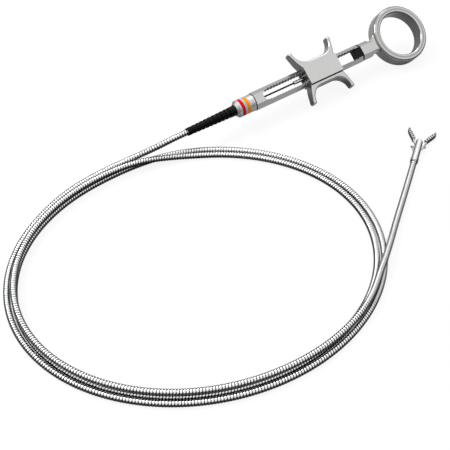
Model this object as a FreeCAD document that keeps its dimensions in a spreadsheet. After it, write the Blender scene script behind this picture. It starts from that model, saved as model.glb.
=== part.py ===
import FreeCAD, Part
import Sketcher
import math
import os

# Flexible alligator forceps, in millimetres.
# +X runs along the handle from its nose to the thumb ring, +Z is up, and the origin is the centre of
# the thumb ring's bore. The handle lies on its side: everything on it is turned about X by roll_deg,
# so below, "across" is the handle's own Y (finger saddle to finger saddle) and "through" is its own Z
# (along the thumb ring's bore).

DOC = FreeCAD.newDocument("alligator_forceps")
SHEET = DOC.addObject("Spreadsheet::Sheet", "Sizes")
Vec = FreeCAD.Vector


class Size:
    """A number together with the spreadsheet expression that gives it."""

    def __init__(self, value, text):
        self.value = value
        self.text = text

    def __add__(self, other):
        other = size(other)
        return Size(self.value + other.value, "(%s + %s)" % (self.text, other.text))

    def __sub__(self, other):
        other = size(other)
        return Size(self.value - other.value, "(%s - %s)" % (self.text, other.text))

    def __mul__(self, other):
        other = size(other)
        return Size(self.value * other.value, "(%s * %s)" % (self.text, other.text))

    def __truediv__(self, other):
        other = size(other)
        return Size(self.value / other.value, "(%s / %s)" % (self.text, other.text))

    def __neg__(self):
        return Size(-self.value, "(0 - %s)" % self.text)

    def __rmul__(self, other):
        return size(other) * self

    def __radd__(self, other):
        return size(other) + self

    def __rsub__(self, other):
        return size(other) - self


def size(number):
    return number if isinstance(number, Size) else Size(float(number), repr(float(number)))


def root_of(number):
    return Size(math.sqrt(number.value), "sqrt(%s)" % number.text)


def cell(alias, number):
    """One driving dimension: a named cell of the sheet."""
    row = cell.row = getattr(cell, "row", 0) + 1
    SHEET.set("A%d" % row, alias)
    SHEET.set("B%d" % row, repr(float(number)))
    SHEET.setAlias("B%d" % row, alias)
    return Size(float(number), "Sizes.%s" % alias)


# Driving dimensions
roll_deg = cell("roll_deg", 34.4)
axis_height = cell("axis_height", 11.9)
running_gap = cell("running_gap", 0.12)
seat_gap = cell("seat_gap", 0.05)

ring_bore_rad = cell("ring_bore_rad", 12.0)
ring_wall = cell("ring_wall", 3.7)
ring_width = cell("ring_width", 8.4)
ring_outer_round = cell("ring_outer_round", 1.2)
ring_inner_round = cell("ring_inner_round", 0.9)
stem_width = cell("stem_width", 7.2)
stem_thick = cell("stem_thick", 5.8)
stem_bevel = cell("stem_bevel", 1.3)
stem_reach = cell("stem_reach", 10.6)
stem_fillet = cell("stem_fillet", 3.6)
stem_block = cell("stem_block", 6.4)
stem_step = cell("stem_step", 0.3)

bar_length = cell("bar_length", 69.1)
bar_width = cell("bar_width", 9.4)
bar_thick = cell("bar_thick", 7.0)
bar_bevel = cell("bar_bevel", 2.1)
slot_width = cell("slot_width", 5.4)
ridge_pitch = cell("ridge_pitch", 1.8)
ridge_depth = cell("ridge_depth", 0.45)
nose_solid = cell("nose_solid", 5.4)
wire_bore_rad = cell("wire_bore_rad", 0.8)
spigot_rad = cell("spigot_rad", 3.0)
spigot_length = cell("spigot_length", 4.0)
joint_line = cell("joint_line", 0.5)
stop_length = cell("stop_length", 2.6)
stop_face = cell("stop_face", 0.8)
tongue_side = cell("tongue_side", 3.0)
ring_pin_rad = cell("ring_pin_rad", 0.6)

seal_width = cell("seal_width", 0.7)
collar_rad = cell("collar_rad", 4.5)
collar_length = cell("collar_length", 10.6)
collar_nose_rad = cell("collar_nose_rad", 3.1)
cone_length = cell("cone_length", 1.3)
band_depth = cell("band_depth", 0.35)
stripe_width = cell("stripe_width", 0.45)
band_width = cell("band_width", 1.9)
middle_stripe_width = cell("middle_stripe_width", 1.1)

boot_length = cell("boot_length", 28.8)
boot_tip_rad = cell("boot_tip_rad", 2.0)
boot_end_rad = cell("boot_end_rad", 2.75)
boot_groove_share = cell("boot_groove_share", 0.5)
boot_plain = cell("boot_plain", 2.4)

cable_rad = cell("cable_rad", 1.6)
ferrule_bore_rad = cell("ferrule_bore_rad", 0.55)
wire_rad = cell("wire_rad", 0.45)
wire_hidden = cell("wire_hidden", 16.0)

spool_front = cell("spool_front", 32.8)
spool_length = cell("spool_length", 20.8)
spool_width = cell("spool_width", 10.2)
spool_thick = cell("spool_thick", 9.3)
horn_tip_rad = cell("horn_tip_rad", 1.15)
horn_waist = cell("horn_waist", 11.8)
horn_thick = cell("horn_thick", 7.4)
horn_tip_thick = cell("horn_tip_thick", 4.8)
horn_soften = cell("horn_soften", 0.9)
saddle_flat = cell("saddle_flat", 4.6)
saddle_rad = cell("saddle_rad", 6.6)
saddle_depth = cell("saddle_depth", 7.15)
carrier_length = cell("carrier_length", 16.0)
rod_rad = cell("rod_rad", 0.95)
rod_length = cell("rod_length", 12.3)
rod_seat = cell("rod_seat", 3.0)
screw_rad = cell("screw_rad", 0.9)
screw_head_rad = cell("screw_head_rad", 1.6)
screw_pitch = cell("screw_pitch", 9.0)
screw_grip = cell("screw_grip", 2.4)
grub_rad = cell("grub_rad", 0.7)

loop_x = cell("loop_x", -175.1)
loop_y = cell("loop_y", -68.2)
loop_major = cell("loop_major", 86.3)
loop_minor = cell("loop_minor", 73.0)
loop_turn_deg = cell("loop_turn_deg", 167.1)

tip_x = cell("tip_x", -39.95)
tip_y = cell("tip_y", -65.4)
tip_heading_deg = cell("tip_heading_deg", 38.5)
sleeve_rad = cell("sleeve_rad", 2.0)
sleeve_back = cell("sleeve_back", 12.0)
sheath_straight = cell("sheath_straight", 15.0)
fork_depth = cell("fork_depth", 9.6)
fork_gap = cell("fork_gap", 1.9)
fork_point = cell("fork_point", 4.2)
fork_shoulder = cell("fork_shoulder", 2.1)
rivet_rad = cell("rivet_rad", 0.45)
rivet_head_rad = cell("rivet_head_rad", 0.8)
rivet_head_thick = cell("rivet_head_thick", 0.3)

jaw_open_deg = cell("jaw_open_deg", 30.0)
jaw_length = cell("jaw_length", 13.2)
jaw_bar_start = cell("jaw_bar_start", 4.5)
jaw_thick = cell("jaw_thick", 1.5)
jaw_height = cell("jaw_height", 2.6)
tooth_pitch = cell("tooth_pitch", 1.4)
tooth_depth = cell("tooth_depth", 0.62)
tooth_land = cell("tooth_land", 0.06)
bite_gap = cell("bite_gap", 0.06)
hub_rad = cell("hub_rad", 1.4)
crank_length = cell("crank_length", 3.1)
crank_angle_deg = cell("crank_angle_deg", 125.0)
ear_rad = cell("ear_rad", 0.75)
plate_gap = cell("plate_gap", 0.06)
link_pin_rad = cell("link_pin_rad", 0.3)
link_pin_slack = cell("link_pin_slack", 0.16)
link_thick = cell("link_thick", 0.38)
link_width = cell("link_width", 1.1)
crosshead_reach = cell("crosshead_reach", 6.2)
drive_rod_rad = cell("drive_rod_rad", 0.6)
drive_rod_length = cell("drive_rod_length", 2.6)
DOC.recompute()

# Places along the handle, worked out from the sizes
shoulder_x = -(ring_bore_rad + ring_wall + stem_reach)
bar_back_x = shoulder_x - joint_line
bar_front_x = bar_back_x - bar_length
slot_front_x = bar_front_x + nose_solid
collar_back_x = bar_front_x - seal_width
collar_front_x = collar_back_x - collar_length
boot_tip_x = collar_front_x - boot_length
spool_front_x = bar_front_x + spool_front
spool_back_x = spool_front_x + spool_length
spool_mid_x = spool_front_x + spool_length / 2

# Places in the parts' frames
TO_HANDLE = FreeCAD.Placement(Vec(), FreeCAD.Rotation(Vec(1, 0, 0), roll_deg.value))
TO_TIP = FreeCAD.Placement(
    Vec(tip_x.value, tip_y.value, sleeve_rad.value - axis_height.value),
    FreeCAD.Rotation(Vec(0, 0, 1), tip_heading_deg.value))
FLIP = FreeCAD.Placement(Vec(), FreeCAD.Rotation(Vec(1, 0, 0), 180))
NODES = []


def turned(degrees):
    return FreeCAD.Placement(Vec(), FreeCAD.Rotation(Vec(0, 0, 1), degrees))


def keep(obj, label, placement):
    """Label a finished sub-part, put it in its place and list it for the export."""
    obj.Label = label
    obj.Placement = placement
    NODES.append(obj)
    return obj


def bind(obj, **sizes):
    for name, number in sizes.items():
        obj.setExpression(name, size(number).text)
    return obj


# Sketches
def new_body(name):
    return DOC.addObject("PartDesign::Body", name)


def new_sketch(body, role, offset=0.0):
    """A sketch on one of the body's origin planes, moved along that plane's normal by offset."""
    sketch = body.newObject("Sketcher::SketchObject", "Sketch")
    plane = [feature for feature in body.Origin.OriginFeatures if feature.Role == role][0]
    sketch.AttachmentSupport = [(plane, "")]
    sketch.MapMode = "FlatFace"
    offset = size(offset)
    sketch.AttachmentOffset = FreeCAD.Placement(Vec(0, 0, offset.value), FreeCAD.Rotation())
    sketch.setExpression("AttachmentOffset.Base.z", offset.text)
    return sketch


def pin_point(sketch, element, which, x, y):
    for kind, number in (("DistanceX", x), ("DistanceY", y)):
        index = sketch.addConstraint(Sketcher.Constraint(kind, -1, 1, element, which, number.value))
        sketch.setExpression("Constraints[%d]" % index, number.text)


def draw_polygon(sketch, corners, arcs=()):
    """A closed outline whose corners are bound to the sheet.

    An arc is (index, centre x, centre y, radius, clockwise): it takes the place of the straight side
    that starts at that corner.
    """
    corners = [(size(x), size(y)) for x, y in corners]
    arcs = dict((arc[0], arc[1:]) for arc in arcs)
    first = sketch.GeometryCount
    count = len(corners)
    ends = []
    for i, (x, y) in enumerate(corners):
        nx, ny = corners[(i + 1) % count]
        if i in arcs:
            cx, cy, radius, clockwise = arcs[i]
            angles = [math.atan2(y.value - cy.value, x.value - cx.value),
                      math.atan2(ny.value - cy.value, nx.value - cx.value)]
            ends.append((2, 1) if clockwise else (1, 2))
            if clockwise:
                angles.reverse()
            if angles[1] < angles[0]:
                angles[1] += 2 * math.pi
            circle = Part.Circle(Vec(cx.value, cy.value, 0), Vec(0, 0, 1), radius.value)
            sketch.addGeometry(Part.ArcOfCircle(circle, angles[0], angles[1]), False)
            number = sketch.addConstraint(Sketcher.Constraint("Radius", first + i, radius.value))
            sketch.setExpression("Constraints[%d]" % number, radius.text)
        else:
            ends.append((1, 2))
            sketch.addGeometry(Part.LineSegment(Vec(x.value, y.value, 0), Vec(nx.value, ny.value, 0)), False)
    for i in range(count):
        following = (i + 1) % count
        sketch.addConstraint(Sketcher.Constraint(
            "Coincident", first + i, ends[i][1], first + following, ends[following][0]))
    for i, (x, y) in enumerate(corners):
        pin_point(sketch, first + i, ends[i][0], x, y)


def draw_circle(sketch, x, y, radius):
    x, y, radius = size(x), size(y), size(radius)
    index = sketch.addGeometry(Part.Circle(Vec(x.value, y.value, 0), Vec(0, 0, 1), radius.value), False)
    pin_point(sketch, index, 3, x, y)
    number = sketch.addConstraint(Sketcher.Constraint("Radius", index, radius.value))
    sketch.setExpression("Constraints[%d]" % number, radius.text)


def rectangle(x0, y0, x1, y1):
    return [(x0, y0), (x1, y0), (x1, y1), (x0, y1)]


def bevelled(width, thick, bevel):
    """An eight-sided section, width by thick, with its four corners bevelled."""
    a, b = size(width) / 2, size(thick) / 2
    c, d = a - bevel, b - bevel
    return [(a, -d), (a, d), (c, b), (-c, b), (-a, d), (-a, -d), (-c, -b), (c, -b)]


# Features
def pad(body, sketch, length, both_ways=False, backwards=False):
    feature = body.newObject("PartDesign::Pad", "Pad")
    feature.Profile = sketch
    bind(feature, Length=length)
    feature.SideType = "Symmetric" if both_ways else "One side"
    feature.Reversed = backwards
    DOC.recompute()
    return feature


def cut_through(body, sketch):
    feature = body.newObject("PartDesign::Pocket", "Cut")
    feature.Profile = sketch
    feature.Type = "ThroughAll"
    feature.SideType = "Symmetric"
    DOC.recompute()
    return feature


def cut_deep(body, sketch, length, backwards=False):
    feature = body.newObject("PartDesign::Pocket", "Cut")
    feature.Profile = sketch
    feature.Type = "Length"
    bind(feature, Length=length)
    feature.Reversed = backwards
    DOC.recompute()
    return feature


def revolve(body, sketch, axis="H_Axis"):
    feature = body.newObject("PartDesign::Revolution", "Revolution")
    feature.Profile = sketch
    feature.ReferenceAxis = (sketch, [axis])
    feature.Angle = 360
    DOC.recompute()
    return feature


def repeat(body, feature, run, count):
    """Repeats a feature along X over a run, count times."""
    pattern = body.newObject("PartDesign::LinearPattern", "Pattern")
    pattern.Originals = [feature]
    pattern.Direction = (feature.Profile[0], ["H_Axis"])
    bind(pattern, Length=run)
    pattern.setExpression("Occurrences", "floor(%s)" % count.text)
    body.Tip = pattern
    DOC.recompute()
    return pattern


def edges_where(feature, test):
    return ["Edge%d" % (i + 1) for i, edge in enumerate(feature.Shape.Edges) if test(edge)]


def round_edges(body, base, test, radius):
    feature = body.newObject("PartDesign::Fillet", "Round")
    names = edges_where(base, test)
    feature.Base = (base, names)
    bind(feature, Radius=radius)
    DOC.recompute()
    if "Invalid" in feature.State:
        raise RuntimeError("%s: rounding %d edges did not compute" % (body.Name, len(names)))
    return feature


def bevel_edges(body, base, test, width):
    feature = body.newObject("PartDesign::Chamfer", "Bevel")
    names = edges_where(base, test)
    feature.Base = (base, names)
    bind(feature, Size=width)
    DOC.recompute()
    if "Invalid" in feature.State:
        raise RuntimeError("%s: bevelling %d edges did not compute" % (body.Name, len(names)))
    return feature


def spun_part(name, label, outline, placement):
    """A turned piece: outline holds (along, radius) corners, spun about X."""
    body = new_body(name)
    sketch = new_sketch(body, "XY_Plane")
    draw_polygon(sketch, outline)
    revolve(body, sketch)
    return keep(body, label, placement)


def tube_outline(start, end, inner, outer):
    return rectangle(start, inner, end, outer)


# Handle: the slotted bar
def handle_body():
    body = new_body("HandleBody")
    section = new_sketch(body, "YZ_Plane", bar_front_x)
    draw_polygon(section, bevelled(bar_width, bar_thick, bar_bevel))
    pad(body, section, bar_length)
    spigot = new_sketch(body, "YZ_Plane", bar_front_x)
    draw_circle(spigot, 0, 0, spigot_rad)
    pad(body, spigot, spigot_length + seal_width, backwards=True)
    slot_end = slot_front_x + slot_width / 2
    half_slot = slot_width / 2
    slot = new_sketch(body, "XY_Plane")
    draw_polygon(slot, rectangle(slot_end, -half_slot, bar_back_x + 1, half_slot))
    cut_through(body, slot)
    notch = new_sketch(body, "XY_Plane")
    first = slot_end + 1.0
    run = bar_back_x - stop_length - ridge_pitch - first
    for side in (1, -1):
        shallow, deep = side * (half_slot - 0.2), side * (half_slot + ridge_depth)
        draw_polygon(notch, [
            (first, shallow), (first, side * half_slot), (first + ridge_pitch * 0.25, deep),
            (first + ridge_pitch * 0.55, deep), (first + ridge_pitch * 0.8, side * half_slot),
            (first + ridge_pitch * 0.8, shallow)])
    repeat(body, cut_through(body, notch), run, run / ridge_pitch + 1)
    slot_round = new_sketch(body, "XY_Plane")
    draw_circle(slot_round, slot_end, 0, slot_width / 2)
    cut_through(body, slot_round)
    wire_way = new_sketch(body, "YZ_Plane")
    draw_circle(wire_way, 0, 0, wire_bore_rad)
    cut_through(body, wire_way)
    pin_way = new_sketch(body, "XZ_Plane")
    draw_circle(pin_way, bar_back_x - stop_length / 2, 0, ring_pin_rad)
    cut_through(body, pin_way)
    return keep(body, "handle_body", TO_HANDLE)


# Handle: the thumb ring with its stem and tongue
def thumb_ring():
    body = new_body("ThumbRing")
    ring_outer = ring_bore_rad + ring_wall
    half_stem = stem_width / 2
    reach = ring_outer + stem_fillet
    flare_y = half_stem + stem_fillet
    flare_x = -root_of(reach * reach - flare_y * flare_y)
    share = ring_outer / reach
    inner_share = (ring_outer - 1.3) / reach
    neck = new_sketch(body, "XY_Plane")
    draw_polygon(neck, [
        (shoulder_x, -half_stem), (flare_x, -half_stem), (flare_x * share, -flare_y * share),
        (flare_x * inner_share, -flare_y * inner_share), (flare_x * inner_share, flare_y * inner_share),
        (flare_x * share, flare_y * share), (flare_x, half_stem), (shoulder_x, half_stem)],
        [(1, flare_x, -flare_y, stem_fillet, True), (5, flare_x, flare_y, stem_fillet, True)])
    neck_pad = pad(body, neck, stem_thick, both_ways=True)
    thick = stem_thick.value / 2

    def neck_edge(edge):
        middle = edge.CenterOfMass
        flat = edge.BoundBox.ZLength < 0.01 and abs(abs(middle.z) - thick) < 0.01
        crosswise = edge.BoundBox.XLength < 0.01
        return flat and not crosswise and middle.x < flare_x.value * share.value - 0.1

    bevel_edges(body, neck_pad, neck_edge, stem_bevel)
    section = new_sketch(body, "XZ_Plane")
    half = ring_width / 2
    inner, outer = ring_inner_round, ring_outer_round
    draw_polygon(section, [
        (ring_bore_rad, inner - half), (ring_bore_rad + inner, -half),
        (ring_outer - outer, -half), (ring_outer, outer - half),
        (ring_outer, half - outer), (ring_outer - outer, half),
        (ring_bore_rad + inner, half), (ring_bore_rad, half - inner)],
        [(0, ring_bore_rad + inner, inner - half, inner, False),
         (2, ring_outer - outer, outer - half, outer, False),
         (4, ring_outer - outer, half - outer, outer, False),
         (6, ring_bore_rad + inner, half - inner, inner, False)])
    revolve(body, section, "V_Axis")
    block = new_sketch(body, "YZ_Plane", shoulder_x)
    draw_polygon(block, bevelled(bar_width - stem_step, bar_thick - stem_step, bar_bevel))
    pad(body, block, stem_block)
    tongue = new_sketch(body, "YZ_Plane", shoulder_x)
    half = tongue_side / 2
    draw_polygon(tongue, rectangle(-half, -half, half, half))
    pad(body, tongue, joint_line + stop_length - stop_face, backwards=True)
    pin_way = new_sketch(body, "XZ_Plane")
    draw_circle(pin_way, bar_back_x - stop_length / 2, 0, ring_pin_rad)
    cut_through(body, pin_way)
    return keep(body, "thumb_ring", TO_HANDLE)


def joint_washer():
    """The dark line between the bar's end and the ring's shoulder."""
    body = new_body("JointWasher")
    sketch = new_sketch(body, "YZ_Plane", bar_back_x)
    draw_polygon(sketch, bevelled(bar_width - 0.4, bar_thick - 0.4, bar_bevel))
    half = tongue_side / 2 + seat_gap
    draw_polygon(sketch, rectangle(-half, -half, half, half))
    pad(body, sketch, joint_line)
    return keep(body, "joint_washer", TO_HANDLE)


def end_stop():
    """The black buffer at the back of the slot, round the ring's tongue."""
    body = new_body("EndStop")
    sketch = new_sketch(body, "YZ_Plane", bar_back_x - stop_length)
    half_width, half_thick = slot_width / 2 - seat_gap, bar_thick / 2 - 0.4
    draw_polygon(sketch, rectangle(-half_width, -half_thick, half_width, half_thick))
    pad(body, sketch, stop_length)
    socket = new_sketch(body, "YZ_Plane", bar_back_x)
    half = tongue_side / 2 + seat_gap
    draw_polygon(socket, rectangle(-half, -half, half, half))
    cut_deep(body, socket, stop_length - stop_face + seat_gap)
    pin_way = new_sketch(body, "XZ_Plane")
    draw_circle(pin_way, bar_back_x - stop_length / 2, 0, ring_pin_rad)
    cut_through(body, pin_way)
    return keep(body, "end_stop", TO_HANDLE)


def cylinder(name, label, radius, length, base, direction, placement):
    """A plain pin: base and direction are in the frame that placement leads from."""
    pin = bind(DOC.addObject("Part::Cylinder", name), Radius=radius, Height=length)
    turn = FreeCAD.Rotation(Vec(0, 0, 1), Vec(*direction))
    place = FreeCAD.Placement(Vec(*[size(number).value for number in base]), turn)
    return keep(pin, label, placement.multiply(place))


def ring_pin():
    length = bar_width - 2 * seat_gap
    return cylinder("RingPin", "ring_pin", ring_pin_rad - 0.02, length,
                    (bar_back_x - stop_length / 2, -length / 2, 0), (0, 1, 0), TO_HANDLE)


# Handle: nose collar, colour bands, seal and strain relief
def nose_collar():
    recess_start = collar_front_x + cone_length + stripe_width
    recess_end = recess_start + 2 * stripe_width + 2 * band_width + middle_stripe_width
    sheath_seat = cable_rad + seat_gap
    spigot_seat = spigot_rad + seat_gap
    spigot_end_x = collar_back_x - spigot_length
    return spun_part("NoseCollar", "nose_collar", [
        (collar_front_x, sheath_seat),
        (collar_front_x, collar_nose_rad),
        (collar_front_x + cone_length, collar_rad),
        (recess_start, collar_rad),
        (recess_start, collar_rad - band_depth),
        (recess_end, collar_rad - band_depth),
        (recess_end, collar_rad),
        (collar_back_x, collar_rad),
        (collar_back_x, spigot_seat),
        (spigot_end_x, spigot_seat),
        (spigot_end_x, sheath_seat)], TO_HANDLE)


def colour_bands():
    start = collar_front_x + cone_length + stripe_width
    rings = [
        ("stripe_front", stripe_width), ("band_red", band_width), ("stripe_middle", middle_stripe_width),
        ("band_orange", band_width), ("stripe_rear", stripe_width)]
    for label, width in rings:
        name = "".join(word.title() for word in label.split("_"))
        spun_part(name, label, tube_outline(start, start + width, collar_rad - band_depth, collar_rad),
                  TO_HANDLE)
        start = start + width


def seal_ring():
    outline = tube_outline(collar_back_x, bar_front_x, spigot_rad + seat_gap, collar_rad - 0.35)
    return spun_part("SealRing", "seal_ring", outline, TO_HANDLE)


def strain_relief(ribs=10):
    """The ribbed, tapered rubber boot."""
    slope = (boot_end_rad - boot_tip_rad) / boot_length
    ribbed_length = boot_length - 2 * boot_plain
    pitch = ribbed_length / ribs

    def skin(along):
        return boot_tip_rad + slope * along

    outline = [(boot_tip_x, cable_rad + seat_gap), (boot_tip_x, skin(0))]
    bore = cable_rad + seat_gap
    for rib in range(ribs):
        start = boot_plain + pitch * rib
        for share, depth in ((0.0, 0), (0.12, 1), (0.34, 1), (0.46, 0)):
            along = start + pitch * share
            groove = (skin(along) - bore) * boot_groove_share * depth
            outline.append((boot_tip_x + along, skin(along) - groove))
    outline.append((collar_front_x, boot_end_rad))
    outline.append((collar_front_x, cable_rad + seat_gap))
    return spun_part("StrainRelief", "strain_relief", outline, TO_HANDLE)


def sheath_ferrule():
    """The steel tube that holds the end of the coil sheath in the nose."""
    end = collar_back_x - spigot_length
    outline = tube_outline(boot_tip_x, end, ferrule_bore_rad, cable_rad)
    return spun_part("SheathFerrule", "sheath_ferrule", outline, TO_HANDLE)


# Slider: spool, carrier, rod and wire
def slider_spool():
    body = new_body("SliderSpool")
    core = new_sketch(body, "XY_Plane")
    half_width = spool_width / 2
    draw_polygon(core, rectangle(spool_front_x, -half_width, spool_back_x, half_width))
    pad(body, core, spool_thick, both_ways=True)
    half_length = spool_length / 2
    mid_tip = saddle_flat + saddle_rad + horn_tip_rad
    tip_line = saddle_depth + saddle_rad
    top = tip_line + horn_tip_rad
    for side in (1, -1):
        wing = new_sketch(body, "XY_Plane")
        base, neck, waist = side * (half_width - 1), side * half_width, side * (half_width + 3.1)
        seat, tip, peak = side * saddle_depth, side * tip_line, side * top
        front_tip, rear_tip = spool_mid_x - mid_tip, spool_mid_x + mid_tip
        draw_polygon(wing, [
            (spool_mid_x - half_length, base), (spool_mid_x + half_length, base),
            (spool_mid_x + half_length, neck), (spool_mid_x + horn_waist, waist),
            (rear_tip + horn_tip_rad, tip), (rear_tip, peak), (rear_tip - horn_tip_rad, tip),
            (spool_mid_x + saddle_flat, seat), (spool_mid_x - saddle_flat, seat),
            (front_tip + horn_tip_rad, tip), (front_tip, peak), (front_tip - horn_tip_rad, tip),
            (spool_mid_x - horn_waist, waist), (spool_mid_x - half_length, neck)], [
            (4, rear_tip, tip, horn_tip_rad, side < 0), (5, rear_tip, tip, horn_tip_rad, side < 0),
            (6, spool_mid_x + saddle_flat, tip, saddle_rad, side > 0),
            (8, spool_mid_x - saddle_flat, tip, saddle_rad, side > 0),
            (9, front_tip, tip, horn_tip_rad, side < 0), (10, front_tip, tip, horn_tip_rad, side < 0)])
        pad(body, wing, horn_thick, both_ways=True)
    taper = new_sketch(body, "YZ_Plane")
    for side in (1, -1):
        for face in (1, -1):
            draw_polygon(taper, [
                (side * half_width, face * horn_thick / 2), (side * top, face * horn_tip_thick / 2),
                (side * (top + 1), face * horn_tip_thick / 2), (side * (top + 1), face * (horn_thick / 2 + 1)),
                (side * half_width, face * (horn_thick / 2 + 1))])
    tapered = cut_through(body, taper)
    inner, outer = half_width.value, top.value
    thick, tip_thick = horn_thick.value / 2, horn_tip_thick.value / 2

    def horn_rim(edge):
        middle = edge.valueAt((edge.FirstParameter + edge.LastParameter) / 2)
        points = [vertex.Point for vertex in edge.Vertexes] + [middle]
        for point in points:
            share = (abs(point.y) - inner) / (outer - inner)
            if abs(abs(point.z) - (thick + (tip_thick - thick) * share)) > 0.01:
                return False
        return abs(middle.y) > inner + 0.05

    round_edges(body, tapered, horn_rim, horn_soften)
    way = new_sketch(body, "YZ_Plane")
    draw_polygon(way, bevelled(bar_width + 2 * running_gap, bar_thick + 2 * running_gap, bar_bevel))
    cut_through(body, way)
    for share in (-0.5, 0.5):
        hole = new_sketch(body, "XY_Plane")
        draw_circle(hole, spool_mid_x + screw_pitch * share, 0, screw_rad)
        cut_deep(body, hole, spool_thick)
        sink = new_sketch(body, "XY_Plane", -spool_thick / 2)
        draw_circle(sink, spool_mid_x + screw_pitch * share, 0, screw_head_rad + seat_gap)
        cut_deep(body, sink, 0.6, backwards=True)
    grub_way = new_sketch(body, "XZ_Plane")
    draw_circle(grub_way, spool_mid_x + 2.5, 0, grub_rad)
    cut_deep(body, grub_way, tip_line, backwards=True)
    return keep(body, "slider_spool", TO_HANDLE)


def wire_carrier():
    """The block that runs in the slot, inside the spool, and grips the rod."""
    body = new_body("WireCarrier")
    half_width = slot_width / 2 - running_gap
    half_thick = bar_thick / 2 + running_gap
    front = spool_mid_x - carrier_length / 2
    sketch = new_sketch(body, "YZ_Plane", front)
    draw_polygon(sketch, bevelled(2 * half_width, 2 * half_thick, 0.6))
    pad(body, sketch, carrier_length)
    socket = new_sketch(body, "YZ_Plane", front)
    draw_circle(socket, 0, 0, rod_rad)
    cut_deep(body, socket, rod_seat, backwards=True)
    for share in (-0.5, 0.5):
        hole = new_sketch(body, "XY_Plane", -half_thick)
        draw_circle(hole, spool_mid_x + screw_pitch * share, 0, screw_rad)
        cut_deep(body, hole, screw_grip + 0.1, backwards=True)
    return keep(body, "wire_carrier", TO_HANDLE)


def spool_screws():
    """Two flat-headed screws from the back of the spool into the carrier."""
    back = -spool_thick / 2
    sink = 0.6
    tip = -bar_thick / 2 - running_gap + screw_grip
    for label, share in (("spool_screw_front", -0.5), ("spool_screw_rear", 0.5)):
        name = "".join(word.title() for word in label.split("_"))
        body = new_body(name)
        sketch = new_sketch(body, "XZ_Plane")
        draw_polygon(sketch, [
            (0, back), (screw_head_rad, back), (screw_head_rad, back + sink),
            (screw_rad - 0.02, back + sink), (screw_rad - 0.02, tip), (0, tip)])
        revolve(body, sketch, "V_Axis")
        shift = FreeCAD.Placement(Vec((spool_mid_x + screw_pitch * share).value, 0, 0), FreeCAD.Rotation())
        keep(body, label, TO_HANDLE.multiply(shift))


def saddle_grub():
    """The small set screw in the lower finger saddle."""
    inner = bar_width / 2 + running_gap + 0.1
    length = saddle_depth - inner - 0.5
    return cylinder("SaddleGrub", "saddle_grub", grub_rad - 0.02, length,
                    (spool_mid_x + 2.5, -inner, 0), (0, -1, 0), TO_HANDLE)


def pull_rod():
    front = spool_mid_x - carrier_length / 2 + rod_seat - rod_length
    return cylinder("PullRod", "pull_rod", rod_rad - 0.02, rod_length - 0.05,
                    (front, 0, 0), (1, 0, 0), TO_HANDLE)


def pull_wire():
    rod_front = spool_mid_x - carrier_length / 2 + rod_seat - rod_length
    start = bar_front_x - wire_hidden
    return cylinder("PullWire", "pull_wire", wire_rad, rod_front - start,
                    (start, 0, 0), (1, 0, 0), TO_HANDLE)


# Tip: fork sleeve, rivet, jaws, links and drive rod
def tip_sleeve():
    """The steel sleeve whose front is slotted into two pointed cheeks."""
    body = new_body("TipSleeve")
    round_bar = new_sketch(body, "YZ_Plane", -sleeve_back)
    draw_circle(round_bar, 0, 0, sleeve_rad)
    pad(body, round_bar, sleeve_back + fork_point)
    slot = new_sketch(body, "XZ_Plane")
    draw_polygon(slot, rectangle(-fork_depth, -fork_gap / 2, fork_point + 1, fork_gap / 2))
    cut_through(body, slot)
    for side in (1, -1):
        gable = new_sketch(body, "XY_Plane")
        draw_polygon(gable, [
            (fork_shoulder, side * (sleeve_rad + 0.1)), (fork_point, side * 0.25),
            (fork_point + 1, side * 0.25), (fork_point + 1, side * (sleeve_rad + 1)),
            (fork_shoulder, side * (sleeve_rad + 1))])
        cut_through(body, gable)
    rod_way = new_sketch(body, "YZ_Plane", -sleeve_back)
    draw_circle(rod_way, 0, 0, drive_rod_rad + 0.08)
    cut_deep(body, rod_way, sleeve_back - fork_depth + 0.5, backwards=True)
    rivet_way = new_sketch(body, "XY_Plane")
    draw_circle(rivet_way, 0, 0, rivet_rad)
    cut_through(body, rivet_way)
    for side in (1, -1):
        sink = new_sketch(body, "XY_Plane", side * (sleeve_rad - rivet_head_thick))
        draw_circle(sink, 0, 0, rivet_head_rad + 0.02)
        cut_deep(body, sink, 1.0, backwards=side > 0)
    return keep(body, "tip_sleeve", TO_TIP)


def jaw_rivet():
    body = new_body("JawRivet")
    head = sleeve_rad - rivet_head_thick
    top = sleeve_rad + 0.06
    shank = rivet_rad - 0.01
    sketch = new_sketch(body, "XZ_Plane")
    draw_polygon(sketch, [
        (0, -top), (rivet_head_rad * 0.6, -top), (rivet_head_rad, -(top - 0.15)), (rivet_head_rad, -head),
        (shank, -head), (shank, head), (rivet_head_rad, head), (rivet_head_rad, top - 0.15),
        (rivet_head_rad * 0.6, top), (0, top)])
    revolve(body, sketch, "V_Axis")
    return keep(body, "jaw_rivet", TO_TIP)


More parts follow.
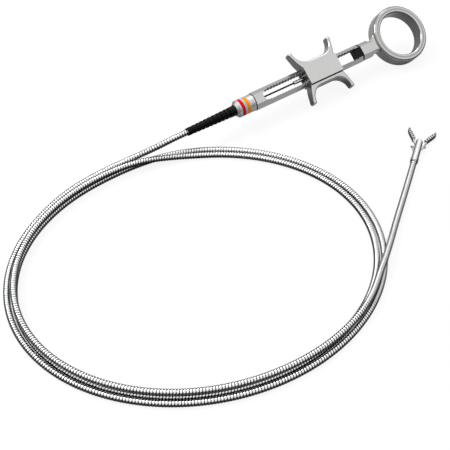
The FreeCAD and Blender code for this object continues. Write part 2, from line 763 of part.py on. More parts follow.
def jaw(label, first_gap, placement):
    """One jaw, drawn closed: its toothed edge lies along X and its back is on the +Y side."""
    body = new_body("".join(word.title() for word in label.split("_")))
    floor = plate_gap / 2
    plate = fork_gap / 2 - plate_gap / 2
    ear_top = plate - link_thick - plate_gap
    angle = math.radians(-crank_angle_deg.value)
    ear_x, ear_y = crank_length * math.cos(angle), crank_length * math.sin(angle)
    hub = new_sketch(body, "XY_Plane", floor)
    draw_circle(hub, 0, 0, hub_rad)
    pad(body, hub, plate - floor)
    arm = new_sketch(body, "XY_Plane", floor)
    flat = bite_gap / 2
    draw_polygon(arm, [
        (0, -0.75), (jaw_bar_start - 1.1, -0.75), (jaw_bar_start - 0.2, flat), (jaw_bar_start + 1, flat),
        (jaw_bar_start + 1, jaw_thick), (0, jaw_thick)])
    pad(body, arm, plate - floor)
    bar = new_sketch(body, "XY_Plane")
    low = -tooth_depth / 2
    start = jaw_bar_start + first_gap
    count = int((jaw_length.value - jaw_bar_start.value - 0.8) // tooth_pitch.value) - 1
    finish = start + tooth_pitch * count
    draw_polygon(bar, [
        (jaw_bar_start, flat), (start, flat), (start, low), (finish, low), (finish, flat),
        (jaw_length, flat), (jaw_length, jaw_thick * 0.35),
        (jaw_length - 1.0, jaw_thick * 0.85), (jaw_length - 3.0, jaw_thick), (jaw_bar_start, jaw_thick)])
    bar_pad = pad(body, bar, jaw_height, both_ways=True)
    back = jaw_thick.value

    def back_edge(edge):
        middle = edge.CenterOfMass
        along = edge.BoundBox.XLength > 0.5 and edge.BoundBox.ZLength < 0.01
        outside = abs(abs(middle.z) - jaw_height.value / 2) < 0.01 and middle.x > jaw_bar_start.value
        return along and outside and middle.y > back * 0.5

    soft = round_edges(body, bar_pad, back_edge, 0.5)
    gap = new_sketch(body, "XY_Plane")
    wide = (tooth_pitch - tooth_land) / 2
    narrow = tooth_land / 2 + bite_gap
    slope = (wide - narrow) / tooth_depth
    mouth = wide + slope * 0.1
    draw_polygon(gap, [
        (start - mouth, low - 0.1), (start + mouth, low - 0.1), (start, tooth_depth / 2 + narrow / slope)])
    notch = cut_through(body, gap)
    row = body.newObject("PartDesign::LinearPattern", "Teeth")
    row.Originals = [notch]
    row.Direction = (gap, ["H_Axis"])
    bind(row, Length=tooth_pitch * count)
    row.Occurrences = count + 1
    body.Tip = row
    DOC.recompute()
    crank = new_sketch(body, "XY_Plane", floor)
    nx, ny = -math.sin(angle) * 0.55, math.cos(angle) * 0.55
    draw_polygon(crank, [(nx, ny), (-nx, -ny), (ear_x - nx, ear_y - ny), (ear_x + nx, ear_y + ny)])
    pad(body, crank, ear_top - floor)
    ear = new_sketch(body, "XY_Plane", floor)
    draw_circle(ear, ear_x, ear_y, ear_rad)
    pad(body, ear, ear_top - floor)
    bores = new_sketch(body, "XY_Plane")
    draw_circle(bores, 0, 0, rivet_rad + seat_gap)
    cut_through(body, bores)
    ear_bore = new_sketch(body, "XY_Plane")
    draw_circle(ear_bore, ear_x, ear_y, link_pin_rad)
    cut_through(body, ear_bore)
    return keep(body, label, placement)


def jaw_places():
    """For each side: its name, the jaw's placement and the frame that its links share."""
    return [("left", TO_TIP.multiply(turned(jaw_open_deg.value)), TO_TIP),
            ("right", TO_TIP.multiply(FLIP).multiply(turned(jaw_open_deg.value)), TO_TIP.multiply(FLIP))]


def jaws_and_links():
    plate = fork_gap / 2 - plate_gap / 2
    floor = plate_gap / 2
    angle = math.radians(-crank_angle_deg.value)
    rest = math.radians(jaw_open_deg.value - crank_angle_deg.value)
    ear = Vec(crank_length.value * math.cos(rest), crank_length.value * math.sin(rest), 0)
    crosshead = Vec(-crosshead_reach.value, 0, 0)
    link_length = (ear - crosshead).Length
    link_turn = math.degrees(math.atan2(ear.y - crosshead.y, ear.x - crosshead.x))
    phases = {"left": 0.5, "right": 1.0}
    for side, jaw_place, link_frame in jaw_places():
        jaw("jaw_" + side, tooth_pitch * phases[side], jaw_place)
        cylinder("LinkPin" + side.title(), "link_pin_" + side, link_pin_rad - 0.01, plate - floor,
                 (crank_length * math.cos(angle), crank_length * math.sin(angle), floor),
                 (0, 0, 1), jaw_place)
        link("link_" + side, link_length, plate,
             link_frame.multiply(FreeCAD.Placement(crosshead, turned(link_turn).Rotation)))


def link(label, length, top, placement):
    """A flat bar with an eye at each end: the far eye is loose on the jaw's pin."""
    body = new_body("".join(word.title() for word in label.split("_")))
    low = top - link_thick
    half = link_width / 2
    bar = new_sketch(body, "XY_Plane", low)
    draw_polygon(bar, rectangle(0, -half, length, half))
    pad(body, bar, link_thick)
    for along in (0.0, length):
        eye = new_sketch(body, "XY_Plane", low)
        draw_circle(eye, along, 0, ear_rad)
        pad(body, eye, link_thick)
    near = new_sketch(body, "XY_Plane")
    draw_circle(near, 0, 0, link_pin_rad + seat_gap)
    cut_through(body, near)
    far = new_sketch(body, "XY_Plane")
    draw_circle(far, length, 0, link_pin_rad + link_pin_slack)
    cut_through(body, far)
    return keep(body, label, placement)


def drive_rod():
    """The end of the inner wire: a round rod with a flat head between the two links."""
    body = new_body("DriveRod")
    neck = -crosshead_reach - 1.1
    rod = new_sketch(body, "YZ_Plane", neck)
    draw_circle(rod, 0, 0, drive_rod_rad)
    pad(body, rod, drive_rod_length, backwards=True)
    half = fork_gap / 2 - plate_gap / 2 - link_thick - plate_gap
    head = new_sketch(body, "XY_Plane")
    draw_polygon(head, rectangle(neck, -0.75, -crosshead_reach, 0.75))
    pad(body, head, 2 * half, both_ways=True)
    nose = new_sketch(body, "XY_Plane")
    draw_circle(nose, -crosshead_reach, 0, 0.75)
    pad(body, nose, 2 * half, both_ways=True)
    bore = new_sketch(body, "XY_Plane")
    draw_circle(bore, -crosshead_reach, 0, link_pin_rad)
    cut_through(body, bore)
    return keep(body, "drive_rod", TO_TIP)


def crosshead_pin():
    length = fork_gap - plate_gap
    return cylinder("CrossheadPin", "crosshead_pin", link_pin_rad - 0.01, length,
                    (-crosshead_reach, 0, -length / 2), (0, 0, 1), TO_TIP)


# Cable: a loose stretch at each end and the coil between them
LEAD_ROUTE = [
    (boot_tip_x.value, 0.0, 0.0), (-143.6, 0.0, 0.0), (-151.6, 1.9, -2.7), (-160.2, 5.0, -6.1),
    (-169.0, 7.0, -8.1), (-177.2, 8.1, -9.2)]
TAIL_ROUTE = [
    (-112.7, -122.2, -7.0), (-103.3, -115.5, -7.2), (-93.4, -107.7, -8.4), (-83.1, -99.3, -9.6)]


def rounded_path(points):
    """Straight runs joined by arcs as large as their runs allow."""
    points = [Vec(*point) for point in points]
    edges, radii = [], []
    start = points[0]
    for before, corner, after in zip(points, points[1:], points[2:]):
        arriving, leaving = (corner - before), (after - corner)
        short = min(arriving.Length, leaving.Length)
        turn = arriving.getAngle(leaving)
        trim = 0.45 * short
        radii.append(trim / math.tan(turn / 2))
        first = corner - arriving.normalize() * trim
        last = corner + leaving.normalize() * trim
        bisector = (last + first) * 0.5 - corner
        centre = corner + bisector.normalize() * (math.hypot(radii[-1], trim))
        middle = centre + (corner - centre).normalize() * radii[-1]
        edges.append(Part.LineSegment(start, first).toShape())
        edges.append(Part.Arc(first, middle, last).toShape())
        start = last
    edges.append(Part.LineSegment(start, points[-1]).toShape())
    return Part.Wire(edges), radii


def cable_tube(label, points):
    path, radii = rounded_path(points)
    heading = Vec(*points[1]) - Vec(*points[0])
    circle = Part.Circle(Vec(*points[0]), heading, cable_rad.value)
    profile = Part.Wire([circle.toShape()])
    tube = path.makePipeShell([profile], True, False)
    expected = math.pi * cable_rad.value ** 2 * path.Length
    print("%s: length %.1f, volume %.1f of %.1f, radii %s"
          % (label, path.Length, tube.Volume, expected, " ".join("%.0f" % r for r in radii)))
    feature = DOC.addObject("Part::Feature", "".join(word.title() for word in label.split("_")))
    feature.Shape = tube
    return keep(feature, label, FreeCAD.Placement())


def cable_coil():
    """The outer shape of the loose turns: an oval ring, two strands wide and two high."""
    half = 2 * cable_rad.value + 0.2
    top = 4 * cable_rad.value
    slope = cable_rad.value * 0.8
    turn = math.radians(loop_turn_deg.value)
    major_way = Vec(math.cos(turn), math.sin(turn), 0)
    minor_way = Vec(0, 0, 1).cross(major_way)
    centre = Vec(loop_x.value, loop_y.value, -axis_height.value)
    oval = Part.Ellipse(centre + major_way * loop_major.value, centre + minor_way * loop_minor.value, centre)
    start = centre + major_way * loop_major.value
    section = [(-half, 0), (half, 0), (half, top - slope), (half - slope, top), (slope - half, top),
               (-half, top - slope), (-half, 0)]
    profile = Part.makePolygon([start + major_way * out + Vec(0, 0, up) for out, up in section])
    ring = Part.Wire([oval.toShape()]).makePipeShell([profile], True, False)
    feature = DOC.addObject("Part::Feature", "CableCoil")
    feature.Shape = ring
    return keep(feature, "cable_coil", FreeCAD.Placement())


def tip_point(along):
    """A point on the tip's own axis, in the object's frame."""
    point = TO_TIP.multVec(Vec(along, 0, 0))
    return (point.x, point.y, point.z)


handle_body()
thumb_ring()
joint_washer()
end_stop()
ring_pin()
nose_collar()
colour_bands()
seal_ring()
strain_relief()
sheath_ferrule()
slider_spool()
wire_carrier()
spool_screws()
saddle_grub()
pull_rod()
pull_wire()
tip_sleeve()
jaw_rivet()
jaws_and_links()
drive_rod()
crosshead_pin()
cable_tube("cable_lead", LEAD_ROUTE)
cable_coil()
cable_tube("cable_tail", TAIL_ROUTE + [
    tip_point(-sleeve_back.value - sheath_straight.value), tip_point(-sleeve_back.value)])
DOC.recompute()

# Check every object before anything is written
for item in DOC.Objects:
    if "Invalid" in item.State or "Error" in item.State:
        raise RuntimeError("%s (%s) did not compute: %s" % (item.Name, item.Label, item.State))
for node in NODES:
    if node.Shape.isNull() or not node.Shape.isValid() or not node.Shape.Solids:
        raise RuntimeError("%s has no valid solid" % node.Label)

os.makedirs("parts", exist_ok=True)
for node in NODES:
    node.Shape.exportStep("parts/%s.step" % node.Label)
    print("%-20s %8.2f mm3 in %d solid" % (node.Label, node.Shape.Volume, len(node.Shape.Solids)))
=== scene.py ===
import math

import bpy
from mathutils import Matrix, Vector


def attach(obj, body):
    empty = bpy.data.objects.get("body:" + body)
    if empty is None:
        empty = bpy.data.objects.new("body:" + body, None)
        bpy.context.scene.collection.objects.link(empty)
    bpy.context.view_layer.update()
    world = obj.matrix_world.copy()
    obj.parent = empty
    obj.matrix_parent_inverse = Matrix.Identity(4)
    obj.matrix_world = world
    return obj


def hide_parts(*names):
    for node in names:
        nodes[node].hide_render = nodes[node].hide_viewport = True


MM = 0.001

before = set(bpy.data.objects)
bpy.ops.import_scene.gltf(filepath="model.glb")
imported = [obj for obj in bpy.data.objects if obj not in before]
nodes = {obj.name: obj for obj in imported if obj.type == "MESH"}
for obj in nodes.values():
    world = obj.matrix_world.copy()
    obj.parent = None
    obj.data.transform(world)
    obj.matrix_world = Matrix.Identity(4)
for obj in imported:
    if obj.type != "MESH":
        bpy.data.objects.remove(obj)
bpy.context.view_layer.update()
scene = bpy.context.scene

# Sizes that the scene shares with the model, in millimetres
FLOOR = -11.9
CABLE_RAD = 1.6
BOOT_TIP_X = -136.0
LOOP_CENTRE = (-175.1, -68.2)
LOOP_MAJOR = 86.3
LOOP_MINOR = 73.0
LOOP_TURN = math.radians(167.1)
TIP = (-39.95, -65.4, FLOOR + 2.0)
TIP_HEADING = math.radians(38.5)
ROLL = math.radians(34.4)
SLEEVE_BACK = 12.0
JAW_OPEN = math.radians(30.0)
JAW_BAR_START = 4.5
TOOTH_PITCH = 1.4
SHEATH_STRAIGHT = 15.0

# Turns of the cable, in degrees counted on from turn to turn and in millimetres
TURNS_START = 291.0
TURNS_END = 1229.0
TURNS_STEP = 7.5
FIRST_OUT = 3.1
TURN_SIDE = 1.77
TOP_RISE = 3.25
TAIL_DRIFT = 1.66

# Winding of the sheath, in millimetres, and the ridge's share of the pitch
WINDING_PITCH = 1.36
WINDING_DEPTH = 0.26
WINDING_RIDGE = 0.86

# Where the painted shades and highlights of the handle lie, in millimetres
SEAM_X = -26.55
SEAM_HALF = 0.55
STEP_Y = -5.15
STEP_NEAR = 0.34
STEP_Z = 4.10
STEP_HALF = 0.60
SLOT_SIDE = 3.25
SLOT_TOP = 3.42
SLOT_BEVEL = 6.00
RIDGE_FOOT = 2.78
RING_BORE = 12.0
RING_EDGE = 16.0


# Camera, as the photograph was taken
def add_camera():
    data = bpy.data.cameras.new("camera")
    data.sensor_width = 36.0
    data.lens = 94.88
    data.clip_start = 0.01
    data.clip_end = 20.0
    camera = bpy.data.objects.new("camera", data)
    scene.collection.objects.link(camera)
    place = Vector((-0.3670, -0.3698, 0.4001))
    target = Vector((-0.1500, -0.0537, -0.01165))
    camera.location = place
    camera.rotation_euler = (target - place).to_track_quat("-Z", "Y").to_euler()
    scene.camera = camera
    return camera


# Cable: one spline from the boot through nearly three loose turns to the tip
LEAD_ROUTE = [
    (BOOT_TIP_X, 0.0, 0.0), (-143.6, 0.0, 0.0), (-151.6, 1.9, -2.7), (-160.2, 5.0, -6.1),
    (-169.0, 7.0, -8.1), (-177.2, 8.1, -9.2)]
TAIL_ROUTE = [
    (-112.7, -122.2, -7.0), (-103.3, -115.5, -7.2), (-93.4, -107.7, -8.4), (-83.1, -99.3, -9.6)]


def tip_point(along):
    """A point on the tip's middle line, so far in front of the rivet."""
    return (TIP[0] + along * math.cos(TIP_HEADING), TIP[1] + along * math.sin(TIP_HEADING), TIP[2])


def ease(value, start, end):
    """0 before start, 1 after end, and smooth between them."""
    t = min(max((value - start) / (end - start), 0.0), 1.0)
    return t * t * (3 - 2 * t)


def loop_point(degrees, out, height):
    """A point of the oval loop: out is measured away from its middle line, height from the floor."""
    t = math.radians(degrees)
    along = (LOOP_MAJOR + out) * math.cos(t)
    across = (LOOP_MINOR + out) * math.sin(t)
    c, s = math.cos(LOOP_TURN), math.sin(LOOP_TURN)
    x = LOOP_CENTRE[0] + along * c - across * s
    y = LOOP_CENTRE[1] + along * s + across * c
    return (x, y, FLOOR + height)


def turn_point(degrees):
    """Where the cable's centre lies in its turns, for degrees counted on from turn to turn."""
    # The first turn is the outer one on the floor and the second the inner one
    settle = ease(degrees, 288, 318)
    out = FIRST_OUT + (TURN_SIDE - FIRST_OUT) * settle
    out -= 2 * TURN_SIDE * ease(degrees, 612, 650)
    # The last turn lies on top of the second
    height = CABLE_RAD + TOP_RISE * ease(degrees, 972, 996)
    height += 0.10 * (1 - settle)
    # The first turn wavers a little, and the last one drifts out towards the tail
    spread = 0.18 * math.sin(math.radians(degrees * 0.61 + 20)) * ease(degrees, 320, 350)
    spread *= 1 - ease(degrees, 560, 600)
    drift = TAIL_DRIFT * ease(degrees, 1168, 1228)
    return loop_point(degrees, out + spread + drift, height)


def cable_route():
    """The points of the cable's middle line, from the boot to the sleeve, in millimetres."""
    points = list(LEAD_ROUTE)
    degrees = TURNS_START
    while degrees < TURNS_END:
        points.append(turn_point(degrees))
        degrees += TURNS_STEP
    points += TAIL_ROUTE
    points += [tip_point(-SLEEVE_BACK - SHEATH_STRAIGHT), tip_point(-SLEEVE_BACK)]
    return points


def spline_line(name, points, resolution=8):
    """The points that a smooth spline runs through, and its length, in metres."""
    curve = bpy.data.curves.new(name, "CURVE")
    curve.dimensions = "3D"
    curve.resolution_u = resolution
    spline = curve.splines.new("NURBS")
    spline.points.add(len(points) - 1)
    for point, place in zip(spline.points, points):
        point.co = (place[0] * MM, place[1] * MM, place[2] * MM, 1.0)
    spline.order_u = 3
    spline.use_endpoint_u = True
    holder = bpy.data.objects.new(name, curve)
    mesh = bpy.data.meshes.new_from_object(holder)
    line = [vertex.co.copy() for vertex in mesh.vertices]
    bpy.data.objects.remove(holder)
    bpy.data.meshes.remove(mesh)
    bpy.data.curves.remove(curve)
    length = sum((b - a).length for a, b in zip(line, line[1:]))
    return line, length


def even_points(line, step):
    """Points step apart along a line, with the way it heads at each and the distance from its start."""
    places, ways, walked = [], [], []
    total = sum((b - a).length for a, b in zip(line, line[1:]))
    count = max(2, round(total / step))
    index, passed = 0, 0.0
    for i in range(count + 1):
        goal = total * i / count
        while index < len(line) - 2 and passed + (line[index + 1] - line[index]).length < goal:
            passed += (line[index + 1] - line[index]).length
            index += 1
        run = line[index + 1] - line[index]
        share = (goal - passed) / run.length
        places.append(line[index] + run * min(share, 1.0))
        walked.append(goal)
    for i in range(count + 1):
        ahead = places[min(i + 1, count)] - places[max(i - 1, 0)]
        ways.append(ahead.normalized())
    return places, ways, walked


def wound_tube(name, line, radius, pitch, depth, around=16, per_turn=6):
    """A tube with the ridges of a close-wound wire along it."""
    places, ways, walked = even_points(line, pitch / per_turn)
    mesh = bpy.data.meshes.new(name)
    vertices, faces, crests = [], [], []
    side = ways[0].cross(Vector((0, 0, 1))).normalized()
    for place, way, along in zip(places, ways, walked):
        side = (side - way * side.dot(way)).normalized()
        other = way.cross(side)
        for k in range(around):
            angle = 2 * math.pi * k / around
            phase = abs(2 * ((along / pitch + k / around) % 1.0) - 1) / WINDING_RIDGE
            ridge = math.sqrt(max(0.0, 1 - phase * phase))
            reach = radius - depth * (1 - ridge)
            vertices.append(place + (side * math.cos(angle) + other * math.sin(angle)) * reach)
            crests.append(ridge)
    rings = len(places)
    for i in range(rings - 1):
        for k in range(around):
            a = i * around + k
            b = i * around + (k + 1) % around
            faces.append((a, a + around, b + around, b))
    faces.append(tuple(range(around)))
    faces.append(tuple((rings - 1) * around + k for k in reversed(range(around))))
    mesh.from_pydata([tuple(v) for v in vertices], [], faces)
    crest = mesh.attributes.new("crest", "FLOAT", "POINT")
    crest.data.foreach_set("value", crests)
    for polygon in mesh.polygons:
        polygon.use_smooth = True
    piece = bpy.data.objects.new(name, mesh)
    scene.collection.objects.link(piece)
    return piece


# Materials
def new_material(name):
    material = bpy.data.materials.new(name)
    material.use_nodes = True
    tree = material.node_tree
    return material, tree, tree.nodes["Principled BSDF"]


def math_node(tree, operation, first, second, third=None):
    """Feeds a math node with numbers or sockets and gives the socket of its result."""
    node = tree.nodes.new("ShaderNodeMath")
    node.operation = operation
    for socket, value in zip(node.inputs, (first, second) if third is None else (first, second, third)):
        if isinstance(value, (int, float)):
            socket.default_value = value
        else:
            tree.links.new(value, socket)
    return node.outputs["Value"]


def under(tree, value, limit):
    """1 where a value in metres is under a limit in millimetres, else 0."""
    return math_node(tree, "LESS_THAN", value, limit * MM)


def distance(tree, value, middle):
    """How far a value in metres lies from a middle in millimetres."""
    return math_node(tree, "ABSOLUTE", math_node(tree, "SUBTRACT", value, middle * MM), 0.0)


def all_of(tree, *tests):
    """1 where every test is 1, else 0."""
    result = tests[0]
    for test in tests[1:]:
        result = math_node(tree, "MULTIPLY", result, test)
    return result


def rise(tree, value, start, end, low=0.0, high=1.0):
    """low up to start, high from end on, and a straight rise between them."""
    node = tree.nodes.new("ShaderNodeMapRange")
    node.inputs["From Min"].default_value = start
    node.inputs["From Max"].default_value = end
    node.inputs["To Min"].default_value = low
    node.inputs["To Max"].default_value = high
    tree.links.new(value, node.inputs["Value"])
    return node.outputs["Result"]


def grey_steps(tree, value, steps):
    """A grey that follows steps, each a value and a grey."""
    ramp = tree.nodes.new("ShaderNodeValToRGB")
    while len(ramp.color_ramp.elements) < len(steps):
        ramp.color_ramp.elements.new(0.5)
    for element, (place, grey) in zip(ramp.color_ramp.elements, steps):
        element.position = place
        element.color = (grey, grey, grey, 1)
    tree.links.new(value, ramp.inputs["Fac"])
    return ramp.outputs["Color"]


def axes(tree, vector):
    """The X, Y and Z of a vector, each as a socket."""
    split = tree.nodes.new("ShaderNodeSeparateXYZ")
    tree.links.new(vector, split.inputs["Vector"])
    return split.outputs["X"], split.outputs["Y"], split.outputs["Z"]


def place_on_piece(tree, turn, shift=(0.0, 0.0, 0.0)):
    """The X, Y and Z of a place on a piece, turned and then shifted."""
    coords = tree.nodes.new("ShaderNodeTexCoord")
    mapping = tree.nodes.new("ShaderNodeMapping")
    mapping.inputs["Rotation"].default_value = turn
    mapping.inputs["Location"].default_value = shift
    tree.links.new(coords.outputs["Object"], mapping.inputs["Vector"])
    return axes(tree, mapping.outputs["Vector"])


def place_on_handle(tree):
    """The same for the handle as if it lay flat: X along it, Y across and Z through it."""
    return place_on_piece(tree, (-ROLL, 0.0, 0.0))


def normal_axes(tree):
    shape = tree.nodes.new("ShaderNodeNewGeometry")
    return axes(tree, shape.outputs["True Normal"])


def steel(name, colour, roughness, brush=(1.0, 1.0, 1.0), turn=0.0, depth=0.03):
    """Steel with fine brush marks: brush squeezes the marks along each axis, turn is about X."""
    material, tree, shader = new_material(name)
    shader.inputs["Metallic"].default_value = 1.0
    coords = tree.nodes.new("ShaderNodeTexCoord")
    mapping = tree.nodes.new("ShaderNodeMapping")
    mapping.inputs["Rotation"].default_value = (turn, 0.0, 0.0)
    mapping.inputs["Scale"].default_value = brush
    tree.links.new(coords.outputs["Object"], mapping.inputs["Vector"])
    marks = tree.nodes.new("ShaderNodeTexNoise")
    marks.inputs["Scale"].default_value = 1400.0
    marks.inputs["Detail"].default_value = 3.0
    tree.links.new(mapping.outputs["Vector"], marks.inputs["Vector"])
    cloud = tree.nodes.new("ShaderNodeTexNoise")
    cloud.inputs["Scale"].default_value = 110.0
    cloud.inputs["Detail"].default_value = 2.0
    tree.links.new(coords.outputs["Object"], cloud.inputs["Vector"])
    ramp = tree.nodes.new("ShaderNodeValToRGB")
    ramp.color_ramp.elements[0].position = 0.35
    ramp.color_ramp.elements[0].color = tuple(c * 0.93 for c in colour) + (1,)
    ramp.color_ramp.elements[1].position = 0.65
    ramp.color_ramp.elements[1].color = tuple(colour) + (1,)
    tree.links.new(marks.outputs["Fac"], ramp.inputs["Fac"])
    tree.links.new(ramp.outputs["Color"], shader.inputs["Base Color"])
    spread = rise(tree, cloud.outputs["Fac"], 0.0, 1.0, roughness * 0.8, roughness * 1.2)
    tree.links.new(spread, shader.inputs["Roughness"])
    relief = tree.nodes.new("ShaderNodeBump")
    relief.inputs["Strength"].default_value = depth * 10
    relief.inputs["Distance"].default_value = 0.00001
    tree.links.new(marks.outputs["Fac"], relief.inputs["Height"])
    tree.links.new(relief.outputs["Normal"], shader.inputs["Normal"])
    return material


def paint(name, colour, roughness, shine=0.5):
    """A dull colour that clouds a little: shine is the strength of its reflection."""
    material, tree, shader = new_material(name)
    shader.inputs["Specular IOR Level"].default_value = shine
    noise = tree.nodes.new("ShaderNodeTexNoise")
    noise.inputs["Scale"].default_value = 700.0
    ramp = tree.nodes.new("ShaderNodeValToRGB")
    ramp.color_ramp.elements[0].color = tuple(c * 0.85 for c in colour) + (1,)
    ramp.color_ramp.elements[1].color = tuple(colour) + (1,)
    tree.links.new(noise.outputs["Fac"], ramp.inputs["Fac"])
    tree.links.new(ramp.outputs["Color"], shader.inputs["Base Color"])
    shader.inputs["Roughness"].default_value = roughness
    return material


def multiply_colour(tree, factor):
    """Multiplies the base colour by a factor that another node gives."""
    base = tree.nodes["Principled BSDF"].inputs["Base Color"]
    source = base.links[0].from_socket
    darker = tree.nodes.new("ShaderNodeVectorMath")
    darker.operation = "SCALE"
    tree.links.new(source, darker.inputs[0])
    tree.links.new(factor, darker.inputs["Scale"])
    tree.links.new(darker.outputs["Vector"], base)


def darken(tree, where, amount):
    """Takes an amount, 1 for black, off the base colour where a test is 1."""
    shade = math_node(tree, "MULTIPLY", where, amount)
    multiply_colour(tree, math_node(tree, "SUBTRACT", 1.0, shade))


def paint_teeth_shade(material, heading, first, side):
    """Painted shade in the hollows between a jaw's teeth, the first of them at first along the heading.

    side is 1 for the left jaw and -1 for the right one.
    """
    tree = material.node_tree
    turn = Matrix.Rotation(-heading, 3, "Z")
    x, y = place_on_piece(tree, (0.0, 0.0, -heading), -(turn @ (Vector(TIP) * MM)))[:2]
    # Each hollow's painted shade is a wedge, widest at the toothed edge
    along = math_node(tree, "MULTIPLY_ADD", x, 1 / (TOOTH_PITCH * MM), 0.5 - first / TOOTH_PITCH)
    near = math_node(tree, "SUBTRACT", math_node(tree, "FRACT", along, 0.0), 0.5)
    width = math_node(tree, "MULTIPLY_ADD", y, -side * 0.20 / MM, 0.40)
    hollow = math_node(tree, "LESS_THAN", math_node(tree, "ABSOLUTE", near, 0.0), width)
    toothed = math_node(tree, "GREATER_THAN", x, (JAW_BAR_START + 0.1) * MM)
    darken(tree, all_of(tree, hollow, toothed), 0.93)


def paint_seam_shade(material):
    """Painted shade: a dark line where the bar's end meets the ring's stem, where shade falls in the
    joint.
    """
    tree = material.node_tree
    along = place_on_handle(tree)[0]
    darken(tree, under(tree, distance(tree, along, SEAM_X), SEAM_HALF), 0.97)


def darken_spool(material):
    """The spool's front faces and the step below the near long edge of its plate are in shade."""
    tree = material.node_tree
    across, through = place_on_handle(tree)[1:]
    step = all_of(tree, under(tree, distance(tree, across, STEP_Y), STEP_NEAR),
                  under(tree, distance(tree, through, STEP_Z), STEP_HALF))
    darken(tree, step, 0.97)
    multiply_colour(tree, rise(tree, normal_axes(tree)[0], -0.90, -0.60, low=0.40))


def darken_slot(material):
    """The ridged walls inside the bar's slot lie in deep shade: they are dark, their hollows darker."""
    tree = material.node_tree
    across, through = [math_node(tree, "ABSOLUTE", axis, 0.0) for axis in place_on_handle(tree)[1:]]
    # Across and through bound the slot, and their sum keeps the bar's bevels light
    corner = math_node(tree, "ADD", across, through)
    inside = all_of(tree, under(tree, across, SLOT_SIDE), under(tree, through, SLOT_TOP),
                    under(tree, corner, SLOT_BEVEL))
    hollow = math_node(tree, "GREATER_THAN", across, RIDGE_FOOT * MM)
    darken(tree, inside, math_node(tree, "MULTIPLY_ADD", hollow, 0.24, 0.74))


def paint_ring_light_and_shade(material):
    """Painted reflection: the ring's bore is dark, as it mirrors itself. Painted highlights: its rim is
    light at both edges, greyer between.
    """
    tree = material.node_tree
    x, y = place_on_handle(tree)[:2]
    square = math_node(tree, "MULTIPLY_ADD", y, y, math_node(tree, "MULTIPLY", x, x))
    reach = math_node(tree, "SQRT", square, 0.0)
    wall = RING_EDGE - RING_BORE
    share = math_node(tree, "MULTIPLY_ADD", reach, 1 / (wall * MM), -RING_BORE / wall)
    multiply_colour(tree, grey_steps(tree, share, (
        (0.015, 0.34), (0.12, 1.0), (0.25, 1.0), (0.33, 0.56), (0.50, 0.62),
        (0.58, 1.0), (0.66, 1.0), (0.74, 0.58), (0.90, 0.62), (0.96, 0.95))))


def paint_groove_shade(material):
    """Painted shade: between its windings and on its underside the sheath is dark."""
    tree = material.node_tree
    crest = tree.nodes.new("ShaderNodeAttribute")
    crest.attribute_name = "crest"
    groove = rise(tree, crest.outputs["Fac"], 0.22, 0.82)
    below = rise(tree, normal_axes(tree)[2], -0.05, 0.78, low=0.01)
    multiply_colour(tree, math_node(tree, "MULTIPLY", groove, below))


def wear(node, material):
    """Gives a CAD node a new material in every slot."""
    piece = nodes[node]
    if not piece.material_slots:
        piece.data.materials.append(material)
    for slot in piece.material_slots:
        slot.material = material


handle_steel = steel("handle steel", (0.60, 0.60, 0.60), 0.22, (0.05, 1.0, 1.0), -ROLL)
darken_slot(handle_steel)
paint_seam_shade(handle_steel)
trim_steel = steel("trim steel", (0.62, 0.62, 0.625), 0.22)
collar_steel = steel("collar steel", (0.68, 0.68, 0.68), 0.46)
spool_steel = steel("spool steel", (0.62, 0.62, 0.615), 0.22, (1.0, 1.0, 1.0), -ROLL, 0.06)
darken_spool(spool_steel)
ring_steel = steel("ring steel", (0.63, 0.63, 0.625), 0.15, (1.0, 1.0, 0.3), -ROLL)
paint_ring_light_and_shade(ring_steel)
paint_seam_shade(ring_steel)
sheath_steel = steel("sheath steel", (0.80, 0.80, 0.80), 0.18)
coil_steel = steel("coil steel", (0.95, 0.95, 0.95), 0.14)
paint_groove_shade(coil_steel)
# The tip's pieces are one steel at different greys: jaw steel is lighter as a painted highlight, the jaws
# and links darker as painted shade
jaw_steel = steel("jaw steel", (0.86, 0.845, 0.83), 0.16)
shaded_link_steel = steel("link steel", (0.30, 0.295, 0.29), 0.24)
shaded_left_jaw_steel = steel("left jaw steel", (0.46, 0.455, 0.45), 0.20)
paint_teeth_shade(shaded_left_jaw_steel, TIP_HEADING + JAW_OPEN, JAW_BAR_START + TOOTH_PITCH / 2, 1)
shaded_right_jaw_steel = steel("right jaw steel", (0.54, 0.535, 0.53), 0.20)
paint_teeth_shade(shaded_right_jaw_steel, TIP_HEADING - JAW_OPEN, JAW_BAR_START + TOOTH_PITCH, -1)
dark_wire = steel("dark wire", (0.03, 0.03, 0.033), 0.35)
rubber = paint("boot rubber", (0.002, 0.002, 0.0025), 0.32, 0.12)
black = paint("black plastic", (0.004, 0.004, 0.005), 0.40, 0.16)
red = paint("red band", (0.76, 0.006, 0.004), 0.45, 0.03)
orange = paint("orange band", (0.98, 0.31, 0.004), 0.45, 0.03)
blue = paint("blue line", (0.34, 0.60, 0.72), 0.45, 0.1)

for node, material in {
        "handle_body": handle_steel, "thumb_ring": ring_steel, "joint_washer": black, "end_stop": black,
        "ring_pin": trim_steel, "nose_collar": collar_steel, "stripe_front": blue, "band_red": red,
        "stripe_middle": blue, "band_orange": orange, "stripe_rear": blue, "seal_ring": black,
        "strain_relief": rubber, "sheath_ferrule": sheath_steel, "slider_spool": spool_steel,
        "wire_carrier": trim_steel, "spool_screw_front": spool_steel, "spool_screw_rear": spool_steel,
        "saddle_grub": dark_wire, "pull_rod": trim_steel, "pull_wire": dark_wire, "tip_sleeve": jaw_steel,
        "jaw_rivet": jaw_steel, "jaw_left": shaded_left_jaw_steel, "jaw_right": shaded_right_jaw_steel,
        "link_pin_left": shaded_link_steel, "link_pin_right": shaded_link_steel,
        "link_left": shaded_link_steel, "link_right": shaded_link_steel,
        "drive_rod": jaw_steel, "crosshead_pin": jaw_steel}.items():
    wear(node, material)


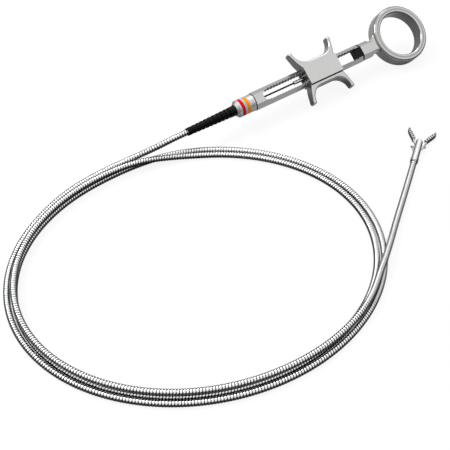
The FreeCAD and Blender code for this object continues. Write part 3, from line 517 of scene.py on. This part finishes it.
# The wound cable stands for three nodes of the model
def add_cable():
    line, length = spline_line("cable_line", cable_route())
    cable = wound_tube("cable", line, CABLE_RAD * MM, WINDING_PITCH * MM, WINDING_DEPTH * MM)
    cable.data.materials.append(coil_steel)
    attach(cable, "handle")
    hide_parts("cable_lead", "cable_coil", "cable_tail")
    print("cable length %.4f m in %d points" % (length, len(line)))


# Floor and light
def by_ray(tree, others, camera):
    """Picks the camera shader for what the camera sees itself and the others shader for the rest."""
    path = tree.nodes.new("ShaderNodeLightPath")
    pick = tree.nodes.new("ShaderNodeMixShader")
    tree.links.new(path.outputs["Is Camera Ray"], pick.inputs["Fac"])
    tree.links.new(others, pick.inputs[1])
    tree.links.new(camera, pick.inputs[2])
    return pick.outputs["Shader"]


def bounce_grey(tree):
    """What the steel mirrors of the floor: a light card round the handle, dark round the coil."""
    coords = tree.nodes.new("ShaderNodeTexCoord")
    x, y = axes(tree, coords.outputs["Object"])[:2]
    card = math_node(tree, "MULTIPLY", rise(tree, y, -0.050, -0.030), rise(tree, x, -0.130, -0.100))
    return math_node(tree, "MULTIPLY_ADD", card, 0.30, 0.12)


def add_floor():
    mesh = bpy.data.meshes.new("floor")
    size = 3.0
    z = FLOOR * MM - 0.00005
    corners = [(-size, -size, z), (size, -size, z), (size, size, z), (-size, size, z)]
    mesh.from_pydata(corners, [], [(0, 1, 2, 3)])
    floor = bpy.data.objects.new("floor", mesh)
    scene.collection.objects.link(floor)
    material, tree, shader = new_material("floor")
    shader.inputs["Base Color"].default_value = (0.95, 0.95, 0.95, 1)
    shader.inputs["Roughness"].default_value = 1.0
    glow = tree.nodes.new("ShaderNodeEmission")
    glow.inputs["Color"].default_value = (1, 1, 1, 1)
    seen = tree.nodes.new("ShaderNodeMixShader")
    seen.inputs["Fac"].default_value = 0.87
    tree.links.new(shader.outputs["BSDF"], seen.inputs[1])
    tree.links.new(glow.outputs["Emission"], seen.inputs[2])
    dull = tree.nodes.new("ShaderNodeBsdfDiffuse")
    tree.links.new(bounce_grey(tree), dull.inputs["Color"])
    surface = by_ray(tree, dull.outputs["BSDF"], seen.outputs["Shader"])
    tree.links.new(surface, tree.nodes["Material Output"].inputs["Surface"])
    mesh.materials.append(material)


def add_light(name, place, target, size, energy):
    data = bpy.data.lights.new(name, "AREA")
    data.shape = "SQUARE"
    data.size = size
    data.energy = energy
    light = bpy.data.objects.new(name, data)
    scene.collection.objects.link(light)
    light.location = place
    light.rotation_euler = (Vector(target) - Vector(place)).to_track_quat("-Z", "Y").to_euler()


def add_world():
    """White behind the object; what the steel mirrors is bright above and darker towards the floor."""
    world = bpy.data.worlds.new("world")
    world.use_nodes = True
    tree = world.node_tree
    white = tree.nodes["Background"]
    white.inputs["Color"].default_value = (1, 1, 1, 1)
    coords = tree.nodes.new("ShaderNodeTexCoord")
    height = axes(tree, coords.outputs["Generated"])[2]
    room = tree.nodes.new("ShaderNodeBackground")
    sky = grey_steps(tree, height, ((0.0, 0.02), (0.22, 0.08), (0.31, 0.40), (0.38, 0.80), (0.66, 1.0)))
    tree.links.new(sky, room.inputs["Color"])
    surface = by_ray(tree, room.outputs["Background"], white.outputs["Background"])
    tree.links.new(surface, tree.nodes["World Output"].inputs["Surface"])
    scene.world = world


scene.view_settings.view_transform = "Standard"
add_camera()
add_cable()
add_floor()
add_world()
middle = (-0.13, -0.06, 0.0)
add_light("key", (-0.55, 0.45, 0.80), middle, 0.45, 5.0)
add_light("back", (0.34, 0.40, 0.80), middle, 0.34, 1.1)
